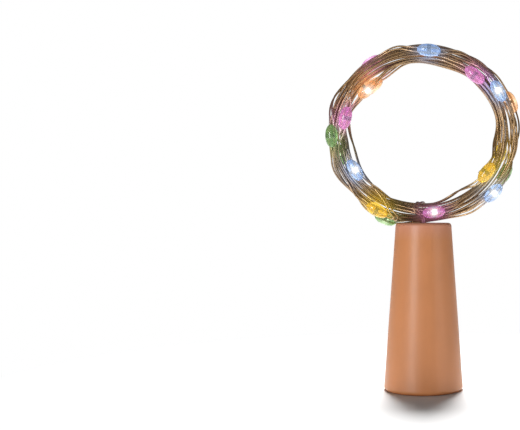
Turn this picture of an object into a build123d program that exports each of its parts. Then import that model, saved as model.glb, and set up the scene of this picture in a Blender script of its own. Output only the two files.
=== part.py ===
from build123d import *
import itertools
import math
import os

# Millimetres and degrees. X is right, Y is away from the viewer, Z is up.
# The origin is the centre of the base, on the surface that the light stands on.

# Cork-shaped shell
cork_height = 48.0
base_radius = 11.4
top_radius = 8.0
base_round = 1.0
top_round = 0.9
shell_wall = 1.9
ceiling_thickness = 1.8
seat_wall = 1.6
seat_depth = 2.2
lead_hole_radius = 1.3
boss_radius = 1.7
boss_spread = 4.7
guide_rib_width = 2.0
guide_rib_bottom = 4.0
guide_rib_top = 26.0
contact_rib_bottom = 12.0
rib_root = 0.4

# Bush that holds the wires in the top hole
bush_flange_radius = 2.4
bush_flange_thickness = 1.2

# Clearances between pieces that move past each other
slide_clearance = 0.1
plate_clearance = 0.3
contact_clearance = 0.05
spring_clearance = 0.15

# Battery tray
tray_recess = 0.4
plate_thickness = 1.7
tray_gap = 0.4
tray_top = 28.4
bay_half_width = 4.7
bay_top = 8.0
partition_thickness = 1.2
window_back = 1.5
tray_flat_depth = 0.5
nail_notch_width = 6.0
nail_notch_depth = 0.9
nail_notch_length = 2.4
knob_slot_length = 6.4
knob_slot_width = 3.4

# Button cells
cell_count = 3
cell_radius = 5.8
cell_height = 5.4
cell_round = 0.3
cell_clearance = 0.1
cell_cap_radius = 4.5
cell_cap_rise = 0.4
cell_seal_radius = 5.0
cell_seal_rise = 0.35
cell_recess = 0.5
cell_wall = 0.3

# Slide switch on its small board
switch_board_bottom = 5.6
switch_board_thickness = 0.8
switch_board_depth = 9.2
switch_length = 8.8
switch_width = 4.0
switch_sheet = 0.2
switch_window_length = 4.4
switch_window_width = 2.2
switch_cavity_length = 5.6
switch_cavity_width = 2.8
switch_cavity_height = 1.4
switch_pin_spread = 2.5
switch_pin_length = 0.5
switch_pin_width = 0.3
switch_pin_stand = 0.6
solder_radius = 0.7
solder_tip_radius = 0.4
knob_travel = 2.0
knob_stem_length = 2.2
knob_stem_width = 1.8
knob_base_length = 3.2
knob_base_width = 2.6
knob_base_height = 0.8
knob_tip = 0.7
knob_base_lift = 0.15
knob_edge_round = 0.2
wiper_length = 3.0
wiper_width = 1.0

# Strips and springs that carry the current
strip_thickness = 0.25
strip_width = 2.5
leaf_thickness = 0.15
leaf_top = 20.0
leaf_foot_start = 3.0
negative_plate_radius = 5.0
negative_leg_width = 2.0
negative_leg_place = 4.3
strip_foot_start = 4.9
spring_wire = 0.4
spring_turns = 3
spring_trim = 0.1
negative_spring_height = 2.3
spring_wide_radius = 4.4
spring_narrow_radius = 2.2
positive_spring_height = 3.9
positive_spring_wide_radius = 2.9
positive_spring_narrow_radius = 1.8

# Round board under the ceiling
board_thickness = 1.2
board_gap = 0.4
screw_radius = 0.8
screw_length = 5.0
screw_head_radius = 1.4
screw_head_height = 0.7
screw_slot_width = 0.35
screw_slot_depth = 0.3
resistor_length = 2.0
resistor_width = 1.25
resistor_height = 0.5
resistor_cap_length = 0.4
resistor_place = 2.9

# Wire of the light string: a lacquered pair, as one round tube
wire_diameter = 0.7
strand_diameter = 0.42
pad_spread = 1.8
pad_place = 1.4
inner_lead_run = 2.6
lead_last_run = 4.0
run_share = 0.45

# Coil: the string wound round the outside of a ring-shaped bundle
coil_turns = 13.597
coil_slots = 14
coil_start_angle = 180.0
coil_start_phase = 208.6
coil_half_width = 24.9
coil_half_height = 23.3
coil_middle_x = -0.4
coil_middle_y = 4.2
coil_base_gap = 0.25
bundle_radius = 2.78
bundle_swell = 0.16
bundle_swell_angle = 345.0
knots_per_turn = 4

# Lights on the string: clear drops over small chips, each at a share of the coil's turns
light_colours = ["pink", "white", "green", "yellow", "orange"]
light_shares = [
    0.0097, 0.0625, 0.1132, 0.1669, 0.2177,
    0.2629, 0.3058, 0.3545, 0.4001, 0.4410,
    0.4866, 0.5340, 0.5758, 0.6192, 0.6643,
    0.7149, 0.7621, 0.8173, 0.8762, 0.9263,
]
light_order = [
    "orange", "yellow", "yellow", "orange", "green",
    "green", "pink", "green", "orange", "green",
    "white", "white", "yellow", "white", "pink",
    "pink", "pink", "orange", "white", "yellow",
]
drop_half_length = 3.4
drop_radius = 1.95
drop_rise = 2.45
drop_straight = 3.6
drop_reach = 11.5

# Degrees round the bundle from each light's slot to the light, and what one adds to its reach
light_asides = [
    10, 30, 12, 0, -10,
    0, -24, 0, -38, 55,
    36, 45, 10, 14, 33,
    -5, 0, 12, -36, -48,
]
reach_per_degree = 0.1

# A wire climbs off the bundle first, and turns aside above its neighbours
climb_run = 5.0
climb_lift = 1.3
climb_angle = 20.0
chip_length = 1.6
chip_width = 0.8
chip_bottom = 0.2
chip_top = 0.75

# Loose arcs of the coil, at shares of its turns, and how far each lifts out of the bundle
stray_shares = [0.4125, 0.4678, 0.5538, 0.7840, 0.9039]
stray_lifts = [0.9, 1.1, 1.0, 0.8, 0.9]
stray_reach = 10.0

# Both ends of the coil leave the bundle
hook_reach = 5.0
head_lift = 1.4
head_angle = 18.0
tail_lift = 2.0
tail_angle = 40.0

# Steps for measuring the gaps on points
gap_step = 0.4
gap_skip = 6.0
gap_cell = 3


def ring_cone(bottom, top, bottom_radius, top_radius_of_cone):
    """A truncated cone on the Z axis between two heights."""
    cone = Cone(
        bottom_radius, top_radius_of_cone, top - bottom, align=(Align.CENTER, Align.CENTER, Align.MIN)
    )
    return Pos(0, 0, bottom) * cone


def rod(bottom, top, radius, x=0, y=0):
    """An upright cylinder between two heights."""
    cylinder = Cylinder(radius, top - bottom, align=(Align.CENTER, Align.CENTER, Align.MIN))
    return Pos(x, y, bottom) * cylinder


def block(x_from, x_to, y_from, y_to, z_from, z_to):
    """A box given by its faces."""
    box = Box(x_to - x_from, y_to - y_from, z_to - z_from, align=(Align.MIN, Align.MIN, Align.MIN))
    return Pos(x_from, y_from, z_from) * box


def outer_radius(height):
    return base_radius + (top_radius - base_radius) * height / cork_height


def inner_radius(height):
    return outer_radius(height) - shell_wall


# Heights and radii that several pieces share
ceiling = cork_height - ceiling_thickness
plate_top = tray_recess + plate_thickness
partition_top = bay_top + partition_thickness
bush_bottom = ceiling - bush_flange_thickness
switch_board_top = switch_board_bottom + switch_board_thickness
cells_bottom = partition_top + strip_thickness + negative_spring_height
cells_top = cells_bottom + cell_count * cell_height
board_bottom = cells_top + spring_clearance + positive_spring_height
board_top = board_bottom + board_thickness
board_radius = inner_radius(board_top) - board_gap
tray_radius = inner_radius(tray_top) - tray_gap
tray_flat = tray_radius - tray_flat_depth
strip_inner = tray_flat + leaf_thickness + contact_clearance
strip_outer = strip_inner + strip_thickness
strip_half = strip_width / 2
seat_radius = base_radius - seat_wall
plate_radius = seat_radius - plate_clearance


# A piece of a path that turns less than this, in radians, is a line
straight_turn = 1e-5

# Paths of arcs: a piece is (start, way, end), an arc or a line that leaves start along way

def biarc(start, start_way, end, end_way):
    """Two arcs that join two points with given directions."""
    span = end - start
    ways = start_way + end_way
    spread = 2 * (1 - start_way.dot(end_way))
    forward = span.dot(ways)
    if spread < straight_turn**2:
        reach = span.dot(span) / (2 * forward)
    else:
        reach = (math.sqrt(forward**2 + spread * span.dot(span)) - forward) / spread
    joint = (start + end + (start_way - end_way) * reach) * 0.5
    joint_way = (span - ways * reach).normalized()
    return [(start, start_way, joint), (joint, joint_way, end)]


def turn_of(piece):
    """The angle that a piece turns through, in radians."""
    start, way, end = piece
    return 2 * math.radians(way.get_angle(end - start))


def length_of(piece):
    start, way, end = piece
    chord = (end - start).length
    half_turn = turn_of(piece) / 2
    if half_turn < straight_turn:
        return chord
    return chord * half_turn / math.sin(half_turn)


def place_on(piece, distance):
    """The point and direction at a distance along a piece."""
    start, way, end = piece
    turn = turn_of(piece)
    if turn < 2 * straight_turn:
        return start + way * distance, way
    radius = length_of(piece) / turn
    chord = end - start
    side = (chord - way * chord.dot(way)).normalized()
    angle = distance / radius
    point = start + way * (radius * math.sin(angle)) + side * (radius * (1 - math.cos(angle)))
    return point, way * math.cos(angle) + side * math.sin(angle)


def place_along(path, distance):
    """The point and direction at a distance along a path of pieces."""
    for piece in path:
        length = length_of(piece)
        if distance <= length:
            return place_on(piece, distance)
        distance -= length
    return place_on(path[-1], length_of(path[-1]) + distance)


def stretch(path, first, last):
    """The pieces of a path between two distances along it."""
    taken = []
    begin = 0
    for piece in path:
        length = length_of(piece)
        low = max(first - begin, 0)
        high = min(last - begin, length)
        if high - low > straight_turn:
            start, way = place_on(piece, low)
            taken.append((start, way, place_on(piece, high)[0]))
        begin += length
    return taken


def tube(path, diameter):
    """A round tube swept along a path of arcs and lines."""
    edges = []
    for piece in path:
        start, way, end = piece
        if turn_of(piece) < 2 * straight_turn:
            edges.append(Line(start, end))
        else:
            edges.append(TangentArc(start, end, tangent=way))
    section = Plane(origin=path[0][0], z_dir=path[0][1]) * Circle(diameter / 2)
    return sweep(section, path=Wire(edges))


# The coil's route

def bundle_size(angle):
    return bundle_radius + bundle_swell * math.cos(math.radians(angle - bundle_swell_angle))


coil_middle_z = cork_height + coil_base_gap + wire_diameter / 2 + bundle_size(270) + coil_half_height


def bundle_middle(angle):
    """The centre of the bundle at an angle round the ring."""
    x = coil_middle_x + coil_half_width * math.cos(math.radians(angle))
    z = coil_middle_z + coil_half_height * math.sin(math.radians(angle))
    return Vector(x, coil_middle_y, z)


def bundle_phase(turn):
    """Where the wire lies round the bundle: 0 is outside the ring, 90 is in front."""
    return coil_start_phase + 360 * turn / coil_slots


def over_bundle(angle, phase, lift):
    """A point on or over the bundle's wires, given round the ring and round the bundle."""
    outward = Vector(math.cos(math.radians(angle)), 0, math.sin(math.radians(angle)))
    size = bundle_size(angle) + lift
    turned = math.radians(phase)
    return (
        bundle_middle(angle) + outward * (size * math.cos(turned)) - Vector(0, size * math.sin(turned), 0)
    )


def coil_point(turn):
    return over_bundle(coil_start_angle - 360 * turn, bundle_phase(turn), 0)


def coil_way(turn):
    step = 1 / 3600
    return (coil_point(turn + step) - coil_point(turn - step)).normalized()


def plain_coil():
    """The coil's turns without the lights, on biarcs of a quarter turn."""
    spans = math.ceil(coil_turns * knots_per_turn)
    turns = [min(knot / knots_per_turn, coil_turns) for knot in range(spans + 1)]
    path = []
    for here, there in zip(turns, turns[1:]):
        path += biarc(coil_point(here), coil_way(here), coil_point(there), coil_way(there))
    return path


def ring_angle(point):
    """The angle round the ring at which a point of the coil lies."""
    x = (point.X - coil_middle_x) / coil_half_width
    z = (point.Z - coil_middle_z) / coil_half_height
    return math.degrees(math.atan2(z, x))


def outward_of(point, way):
    """The direction that leads out of the bundle at a point of the coil."""
    away = point - bundle_middle(ring_angle(point))
    return (away - way * away.dot(way)).normalized()


def distance_at(plain, share):
    """The distance along the plain coil to a share of its turns."""
    place = share * coil_turns * knots_per_turn
    knots = math.floor(place)
    whole = sum(length_of(piece) for piece in plain[:2 * knots])
    rest = sum(length_of(piece) for piece in plain[2 * knots:2 * knots + 2])
    return whole + rest * (place - knots)


def lifted_frame(plain, place, lift, aside=0):
    """A frame over a point of the coil or aside from it: X runs along the wire, Z out of the bundle."""
    point, way = place_along(plain, place)
    outward = outward_of(point, way)
    angle = math.radians(aside)
    turned = outward * math.cos(angle) + way.cross(outward) * math.sin(angle)
    size = bundle_size(ring_angle(point))
    return Plane(origin=point - outward * size + turned * (size + lift), x_dir=way, z_dir=turned)


def light_frames(plain):
    frames = []
    for share, aside in zip(light_shares, light_asides):
        frames.append(lifted_frame(plain, distance_at(plain, share), drop_rise, aside))
    return frames


def coil_lifts(plain):
    """Each stretch that leaves the bundle: its place, lift, turn aside, straight half and reach."""
    lifts = []
    for share, aside in zip(light_shares, light_asides):
        reach = drop_reach + reach_per_degree * abs(aside)
        lifts.append((distance_at(plain, share), drop_rise, aside, drop_straight, reach))
    for share, lift in zip(stray_shares, stray_lifts):
        lifts.append((distance_at(plain, share), lift, 0, 0, stray_reach))
    return sorted(lifts)


def climbed(plain, place, angle):
    """A point above the bundle and the way there, on the climb to a light or down from it."""
    frame = lifted_frame(plain, place, climb_lift)
    turned = math.radians(angle)
    return frame.origin, frame.x_dir * math.cos(turned) + frame.z_dir * math.sin(turned)


def coil_head(plain):
    """Where the lead becomes the coil: over the bundle, coming from its front side."""
    frame = lifted_frame(plain, 0, head_lift)
    angle = math.radians(head_angle)
    return frame.origin, frame.x_dir * math.cos(angle) - frame.y_dir * math.sin(angle)


def coil_tail(plain, total):
    """The free end of the wire, which leaves the bundle into the ring."""
    frame = lifted_frame(plain, total, tail_lift)
    angle = math.radians(tail_angle)
    return frame.origin, frame.x_dir * math.cos(angle) + frame.z_dir * math.sin(angle)


def coil_path(plain):
    """The coil's turns, lifted out of the bundle at the lights, the loose arcs and both ends."""
    total = sum(length_of(piece) for piece in plain)
    start, start_way = coil_head(plain)
    joined, joined_way = place_along(plain, hook_reach)
    path = [(start - start_way * wire_diameter, start_way, start)]
    path += biarc(start, start_way, joined, joined_way)
    done = hook_reach
    for place, lift, aside, straight, reach in coil_lifts(plain):
        path += stretch(plain, done, place - reach)
        before, way_before = place_along(plain, place - reach)
        after, way_after = place_along(plain, place + reach)
        frame = lifted_frame(plain, place, lift, aside)
        way = frame.x_dir
        run_start = frame.origin - way * straight
        run_end = frame.origin + way * straight
        if straight > 0:
            rising, rising_way = climbed(plain, place - reach + climb_run, climb_angle)
            falling, falling_way = climbed(plain, place + reach - climb_run, -climb_angle)
            path += biarc(before, way_before, rising, rising_way)
            path += biarc(rising, rising_way, run_start, way)
            path.append((run_start, way, run_end))
            path += biarc(run_end, way, falling, falling_way)
            path += biarc(falling, falling_way, after, way_after)
        else:
            path += biarc(before, way_before, run_start, way)
            path += biarc(run_end, way, after, way_after)
        done = place + reach
    path += stretch(plain, done, total - hook_reach)
    left, left_way = place_along(plain, total - hook_reach)
    tip, tip_way = coil_tail(plain, total)
    path += biarc(left, left_way, tip, tip_way)
    path.append((tip, tip_way, tip + tip_way * wire_diameter))
    return path


def points_along(path, step):
    """Points at even steps along a path."""
    points = []
    begin = 0
    for piece in path:
        length = length_of(piece)
        while len(points) * step < begin + length:
            points.append(place_on(piece, len(points) * step - begin)[0])
        begin += length
    return points


def least_gap(path, diameter):
    """The least gap of a tube to itself, measured on points that lie apart along its path."""
    size = gap_cell * diameter
    least = size
    cells = {}
    for index, point in enumerate(points_along(path, gap_step)):
        home = [math.floor(value / size) for value in point]
        for side in itertools.product((-1, 0, 1), repeat=3):
            neighbour = tuple(place + shift for place, shift in zip(home, side))
            for other, other_point in cells.get(neighbour, []):
                if (index - other) * gap_step > gap_skip:
                    least = min(least, (point - other_point).length)
        cells.setdefault(tuple(home), []).append((index, point))
    return least - diameter


# Free lead: out of the top hole, over the bundle, down behind it, under it and up its front

def lead_points(path):
    """The lead's route, chosen by hand; its last run goes straight into the coil."""
    end, end_way, _ = path[0]
    return [
        Vector(0.0, 0.0, cork_height),
        Vector(0.0, 0.0, 49.8),
        Vector(-2.3, -2.0, 51.2),
        Vector(-3.0, -1.4, 55.2),
        Vector(-1.4, 2.0, 57.8),
        Vector(0.6, 8.6, 56.4),
        Vector(0.2, 9.2, 50.4),
        Vector(-4.6, 9.9, 47.7),
        Vector(-9.6, 6.8, 46.4),
        Vector(-9.8, 0.4, 46.3),
        Vector(-9.9, -1.5, 48.6),
        over_bundle(247, 90, 3.2),
        over_bundle(240, 120, 2.5),
        over_bundle(229, 148, 3.0),
        over_bundle(212, 174, 2.1),
        end - end_way * lead_last_run,
        end,
    ]


def lead_radii(points):
    """The radius at each corner: 0.45 of the shorter run over the tangent of half the turn."""
    radii = []
    for before, here, after in zip(points, points[1:], points[2:]):
        run_in = here - before
        run_out = after - here
        shorter = min(run_in.length, run_out.length)
        radii.append(run_share * shorter / math.tan(math.radians(run_in.get_angle(run_out)) / 2))
    return radii


def string_lead(path):
    points = lead_points(path)
    radii = lead_radii(points)
    line = FilletPolyline(*points, radius=radii)
    print("lead radii", [round(radius, 1) for radius in radii], "length", round(line.length, 1))
    section = Plane(origin=points[0], z_dir=points[1] - points[0]) * Circle(wire_diameter / 2)
    return sweep(section, path=line)


# Pieces of the light string

def string_coil(path):
    solid = tube(path, wire_diameter)
    length = sum(length_of(piece) for piece in path)
    swept = length * math.pi * wire_diameter**2 / 4
    print("coil length", round(length), "volume over section times length", round(solid.volume / swept, 4))
    print("coil least gap to itself", round(least_gap(path, wire_diameter), 3))
    return solid


def wire_through():
    """The straight wire inside a drop, in the frame of the light."""
    return Rot(0, 90, 0) * Cylinder(wire_diameter / 2, 4 * drop_half_length)


def chip():
    half = chip_length / 2
    side = chip_width / 2
    return block(-half, half, -side, side, chip_bottom, chip_top) - wire_through()


def drop():
    """A clear drop: an ellipse turned about the wire, with room for the wire and the chip."""
    ellipse = Ellipse(drop_half_length, drop_radius)
    keep = Rectangle(2 * drop_half_length, drop_radius, align=(Align.CENTER, Align.MIN))
    body = revolve(ellipse & keep, axis=Axis.X)
    return body - wire_through() - chip()


def light_chips(frames):
    return [frame * chip() for frame in frames]


def light_drops(frames, colour):
    return [frame * drop() for frame, own in zip(frames, light_order) if own == colour]


def lead_throat():
    """The wire pair where it passes through the bush."""
    return rod(bush_bottom, cork_height, wire_diameter / 2)


def inner_leads():
    """The two strands from the bush to their pads on the board."""
    strands = []
    for side in (-1, 1):
        start = Vector(side * strand_diameter / 2, 0, bush_bottom)
        end = Vector(side * pad_spread, pad_place, board_top)
        points = [start, start - Vector(0, 0, inner_lead_run), end + Vector(0, 0, inner_lead_run), end]
        line = FilletPolyline(*points, radius=lead_radii(points))
        section = Plane(origin=start, z_dir=(0, 0, -1)) * Circle(strand_diameter / 2)
        strands.append(sweep(section, path=line))
    return strands


# The cork-shaped body

def cork_shell():
    body = ring_cone(0, cork_height, base_radius, top_radius)
    rims = body.edges().filter_by(GeomType.CIRCLE).sort_by(Axis.Z)
    body = fillet(rims[0], base_round)
    body = fillet(body.edges().filter_by(GeomType.CIRCLE).sort_by(Axis.Z)[-1], top_round)
    body -= ring_cone(0, ceiling, inner_radius(0), inner_radius(ceiling))
    body -= rod(0, seat_depth, seat_radius)
    for side in (-1, 1):
        body += boss(side) + (guide_rib(side) & rib_limit())
    body += contact_rib() & rib_limit()
    body -= rod(ceiling, cork_height, lead_hole_radius)
    for side in (-1, 1):
        body -= rod(board_top, board_top + screw_length, screw_radius, x=side * boss_spread)
    return body


def boss(side):
    return rod(board_top, ceiling, boss_radius, x=side * boss_spread)


def rib_limit():
    """The cone inside the wall that the roots of the ribs end in."""
    return ring_cone(0, ceiling, inner_radius(0) + rib_root, inner_radius(ceiling) + rib_root)


def guide_rib(side):
    half = guide_rib_width / 2
    faces = sorted((side * (tray_radius + slide_clearance), side * base_radius))
    return block(faces[0], faces[1], -half, half, guide_rib_bottom, guide_rib_top)


def contact_rib():
    return block(-strip_half, strip_half, strip_outer, base_radius, contact_rib_bottom, board_bottom)


def hole_bush():
    body = rod(bush_bottom, ceiling, bush_flange_radius) + rod(ceiling, cork_height, lead_hole_radius)
    return body - lead_throat()


# Board, resistor, spring and strip fixed in the body

def main_board():
    body = rod(board_bottom, board_top, board_radius)
    for side in (-1, 1):
        body -= rod(board_bottom, board_top, screw_radius, x=side * boss_spread)
    return body


def board_screws():
    screws = []
    for side in (-1, 1):
        x = side * boss_spread
        head_bottom = board_bottom - screw_head_height
        body = rod(head_bottom, board_bottom, screw_head_radius, x=x)
        body += rod(board_bottom, board_top + screw_length, screw_radius, x=x)
        half = screw_slot_width / 2
        for along, across in ((screw_radius, half), (half, screw_radius)):
            slot_top = head_bottom + screw_slot_depth
            body -= block(x - along, x + along, -across, across, head_bottom, slot_top)
        screws.append(body)
    return screws


def resistor_body():
    half = resistor_length / 2 - resistor_cap_length
    side = resistor_width / 2
    return Pos(0, -resistor_place, board_top) * block(-half, half, -side, side, 0, resistor_height)


def resistor_caps():
    half = resistor_length / 2
    side = resistor_width / 2
    left = block(-half, resistor_cap_length - half, -side, side, 0, resistor_height)
    right = block(half - resistor_cap_length, half, -side, side, 0, resistor_height)
    return [Pos(0, -resistor_place, board_top) * cap for cap in (left, right)]


def board_solder():
    """The joints that hold the two strands on the board."""
    joints = []
    for side in (-1, 1):
        cone = ring_cone(board_top, board_top + switch_pin_stand, solder_radius, solder_tip_radius)
        hole = rod(board_top, board_top + inner_lead_run, strand_diameter / 2)
        joints.append(Pos(side * pad_spread, pad_place, 0) * (cone - hole))
    return joints


def conical_spring(bottom, top, bottom_radius, top_radius_of_spring):
    """A conical spring on biarcs of a quarter turn, ground flat at both ends."""
    low = bottom + spring_wire / 2 - spring_trim
    high = top - spring_wire / 2 + spring_trim
    count = spring_turns * knots_per_turn

    def point(share):
        angle = 2 * math.pi * spring_turns * share
        radius = bottom_radius + (top_radius_of_spring - bottom_radius) * share
        return Vector(radius * math.cos(angle), radius * math.sin(angle), low + (high - low) * share)

    def way(share):
        step = 1 / 10000
        return (point(share + step) - point(share - step)).normalized()

    path = []
    for knot in range(count):
        here = knot / count
        there = (knot + 1) / count
        path += biarc(point(here), way(here), point(there), way(there))
    spring = tube(path, spring_wire)
    print("spring least gap to itself", round(least_gap(path, spring_wire), 2))
    reach = 2 * max(bottom_radius, top_radius_of_spring)
    return spring & block(-reach, reach, -reach, reach, bottom, top)


def positive_spring():
    bottom = cells_top + spring_clearance
    return conical_spring(bottom, board_bottom, positive_spring_narrow_radius, positive_spring_wide_radius)


def side_strip():
    """The strip down the wall that the tray's leaf slides on, with its foot under the board."""
    leg = block(-strip_half, strip_half, strip_inner, strip_outer, contact_rib_bottom, board_bottom)
    foot_bottom = board_bottom - strip_thickness
    foot = block(-strip_half, strip_half, strip_foot_start, strip_outer, foot_bottom, board_bottom)
    return leg + foot


# Battery tray, which slides out of the base

def tray_frame():
    plate = rod(tray_recess, plate_top, plate_radius)
    plate = fillet(plate.edges().sort_by(Axis.Z)[0], knob_edge_round)
    holder = rod(plate_top, tray_top, tray_radius)
    reach = 2 * tray_radius
    holder -= block(-bay_half_width, bay_half_width, -reach, reach, plate_top, bay_top)
    holder -= rod(partition_top, tray_top, cell_radius + cell_clearance)
    window = cell_radius + cell_clearance
    holder -= block(-window, window, -reach, -window_back, partition_top, tray_top)
    holder -= block(-reach, reach, tray_flat, reach, plate_top, tray_top)
    body = plate + holder
    slot_half = knob_slot_length / 2
    slot_side = knob_slot_width / 2
    body -= block(-slot_half, slot_half, -slot_side, slot_side, tray_recess, plate_top)
    notch_half = nail_notch_width / 2
    notch_edge = plate_radius - nail_notch_length
    notch_top = tray_recess + nail_notch_depth
    body -= block(-notch_half, notch_half, -reach, -notch_edge, tray_recess, notch_top)
    body -= negative_leg_room()
    return body


def negative_leg_room():
    half = negative_leg_width / 2
    back = negative_leg_place + strip_thickness
    return block(-half, half, -back, -negative_leg_place, bay_top, partition_top)


def switch_board():
    side = switch_board_depth / 2
    body = block(-bay_half_width, bay_half_width, -side, side, switch_board_bottom, switch_board_top)
    for pin in switch_pins():
        body -= pin
    return body


def switch_pins():
    bottom = plate_top + switch_sheet + switch_cavity_height
    top = switch_board_top + switch_pin_stand
    half = switch_pin_length / 2
    side = switch_pin_width / 2
    pins = []
    for place in (-switch_pin_spread, 0, switch_pin_spread):
        pins.append(block(place - half, place + half, -side, side, bottom, top))
    return pins


def switch_solder():
    joints = []
    for place, pin in zip((-switch_pin_spread, 0, switch_pin_spread), switch_pins()):
        cone_top = switch_board_top + switch_pin_stand
        cone = ring_cone(switch_board_top, cone_top, solder_radius, solder_tip_radius)
        joints.append(Pos(place, 0, 0) * cone - pin)
    return joints


def switch_frame():
    half = switch_length / 2
    side = switch_width / 2
    body = block(-half, half, -side, side, plate_top, switch_board_bottom)
    inner_half = half - switch_sheet
    inner_side = side - switch_sheet
    floor = plate_top + switch_sheet
    body -= block(-inner_half, inner_half, -inner_side, inner_side, floor, switch_board_bottom)
    window_half = switch_window_length / 2
    window_side = switch_window_width / 2
    return body - block(-window_half, window_half, -window_side, window_side, plate_top, floor)


def switch_housing():
    half = switch_length / 2 - switch_sheet
    side = switch_width / 2 - switch_sheet
    floor = plate_top + switch_sheet
    body = block(-half, half, -side, side, floor, switch_board_bottom)
    cavity_half = switch_cavity_length / 2
    cavity_side = switch_cavity_width / 2
    cavity_top = floor + switch_cavity_height
    body -= block(-cavity_half, cavity_half, -cavity_side, cavity_side, floor, cavity_top)
    for pin in switch_pins():
        body -= pin
    return body


def switch_knob():
    """The knob at its lit end of travel."""
    base_bottom = plate_top + switch_sheet + knob_base_lift
    half = knob_stem_length / 2
    side = knob_stem_width / 2
    stem = block(-half, half, -side, side, knob_tip, base_bottom)
    stem = fillet(stem.faces().sort_by(Axis.Z)[0].edges(), knob_edge_round)
    base_half = knob_base_length / 2
    base_side = knob_base_width / 2
    base = block(-base_half, base_half, -base_side, base_side, base_bottom, base_bottom + knob_base_height)
    return Pos(-knob_travel / 2, 0, 0) * (stem + base)


def switch_wiper():
    bottom = plate_top + switch_sheet + knob_base_lift + knob_base_height
    half = wiper_length / 2
    side = wiper_width / 2
    return Pos(-knob_travel / 2, 0, 0) * block(-half, half, -side, side, bottom, bottom + leaf_thickness)


def tray_leaf():
    """The leaf on the tray's flat side that meets the strip in the body."""
    outer = tray_flat + leaf_thickness
    leg = block(-strip_half, strip_half, tray_flat, outer, switch_board_top, leaf_top)
    foot_top = switch_board_top + leaf_thickness
    foot = block(-strip_half, strip_half, leaf_foot_start, outer, switch_board_top, foot_top)
    return leg + foot


def negative_strip():
    """The plate under the cells, with its leg down to the switch board."""
    plate = rod(partition_top, partition_top + strip_thickness, negative_plate_radius)
    half = negative_leg_width / 2
    back = negative_leg_place + strip_thickness
    leg = block(-half, half, -back, -negative_leg_place, switch_board_top, partition_top)
    return plate + leg


def negative_spring():
    bottom = partition_top + strip_thickness
    return conical_spring(bottom, cells_bottom, spring_wide_radius, spring_narrow_radius)


def cell_bottoms():
    return [cells_bottom + place * cell_height for place in range(cell_count)]


def cell_core(bottom):
    """The paste inside one cell."""
    floor = bottom + cell_cap_rise + cell_recess
    return rod(floor, bottom + cell_height - cell_wall, cell_radius - cell_wall)


def cell_cores():
    return [cell_core(bottom) for bottom in cell_bottoms()]


def cell_cans():
    cans = []
    for bottom in cell_bottoms():
        can = rod(bottom + cell_cap_rise, bottom + cell_height, cell_radius)
        can = fillet(can.edges().filter_by(GeomType.CIRCLE), cell_round)
        can -= rod(bottom, bottom + cell_cap_rise + cell_recess, cell_seal_radius)
        cans.append(can - cell_core(bottom))
    return cans


def cell_seals():
    seals = []
    for bottom in cell_bottoms():
        top = bottom + cell_cap_rise + cell_recess
        seal = rod(bottom + cell_seal_rise, top, cell_seal_radius)
        seals.append(seal - rod(bottom, top, cell_cap_radius))
    return seals


def cell_caps():
    return [rod(bottom, bottom + cell_cap_rise + cell_recess, cell_cap_radius) for bottom in cell_bottoms()]


def save(name, shape):
    """One node: a solid, or a group of separate solids."""
    solids = shape if isinstance(shape, list) else [shape]
    parts = [solid for piece in solids for solid in piece.solids()]
    export_step(parts[0] if len(parts) == 1 else Compound(children=parts), f"parts/{name}.step")
    print(name, len(parts), "solids", round(sum(solid.volume for solid in parts), 2), "cubic mm")


def main():
    os.makedirs("parts", exist_ok=True)
    save("cork_shell", cork_shell())
    save("hole_bush", hole_bush())
    save("main_board", main_board())
    save("board_screws", board_screws())
    save("resistor_body", resistor_body())
    save("resistor_caps", resistor_caps())
    save("board_solder", board_solder())
    save("positive_spring", positive_spring())
    save("side_strip", side_strip())
    save("lead_throat", lead_throat())
    save("inner_leads", inner_leads())
    plain = plain_coil()
    frames = light_frames(plain)
    path = coil_path(plain)
    save("string_lead", string_lead(path))
    save("string_coil", string_coil(path))
    save("light_chips", light_chips(frames))
    for colour in light_colours:
        save(f"light_drops_{colour}", light_drops(frames, colour))
    save("tray_frame", tray_frame())
    save("switch_board", switch_board())
    save("switch_pins", switch_pins())
    save("switch_solder", switch_solder())
    save("switch_frame", switch_frame())
    save("switch_housing", switch_housing())
    save("switch_knob", switch_knob())
    save("switch_wiper", switch_wiper())
    save("tray_leaf", tray_leaf())
    save("negative_strip", negative_strip())
    save("negative_spring", negative_spring())
    save("cell_cans", cell_cans())
    save("cell_seals", cell_seals())
    save("cell_caps", cell_caps())
    save("cell_cores", cell_cores())


main()
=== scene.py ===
"""The looks of a cork-shaped bottle light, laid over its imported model."""

import math

import bmesh
import bpy
from bpy.props import FloatProperty, FloatVectorProperty, IntProperty, PointerProperty
from mathutils import Matrix, Vector


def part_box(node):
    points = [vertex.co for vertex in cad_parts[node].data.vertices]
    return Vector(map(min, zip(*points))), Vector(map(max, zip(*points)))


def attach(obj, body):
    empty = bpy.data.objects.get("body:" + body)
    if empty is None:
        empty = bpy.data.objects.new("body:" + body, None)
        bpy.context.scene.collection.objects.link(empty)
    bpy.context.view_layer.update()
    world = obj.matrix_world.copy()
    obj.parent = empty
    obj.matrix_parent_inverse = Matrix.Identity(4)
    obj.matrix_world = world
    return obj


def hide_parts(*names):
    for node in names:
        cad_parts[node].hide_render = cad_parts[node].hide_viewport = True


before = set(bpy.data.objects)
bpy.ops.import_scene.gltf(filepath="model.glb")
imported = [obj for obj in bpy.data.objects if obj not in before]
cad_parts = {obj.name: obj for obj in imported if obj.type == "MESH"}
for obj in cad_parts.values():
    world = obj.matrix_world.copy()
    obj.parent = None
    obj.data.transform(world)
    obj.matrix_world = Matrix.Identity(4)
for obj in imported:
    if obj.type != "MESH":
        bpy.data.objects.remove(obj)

bl_info = {
    "name": "Cork bottle light",
    "version": (1, 0, 0),
    "blender": (4, 5, 0),
    "location": "View3D > Sidebar > Cork light",
    "description": "Builds the wire string, the lights and the finishes of a cork-shaped bottle light",
    "category": "Object",
}

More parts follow.
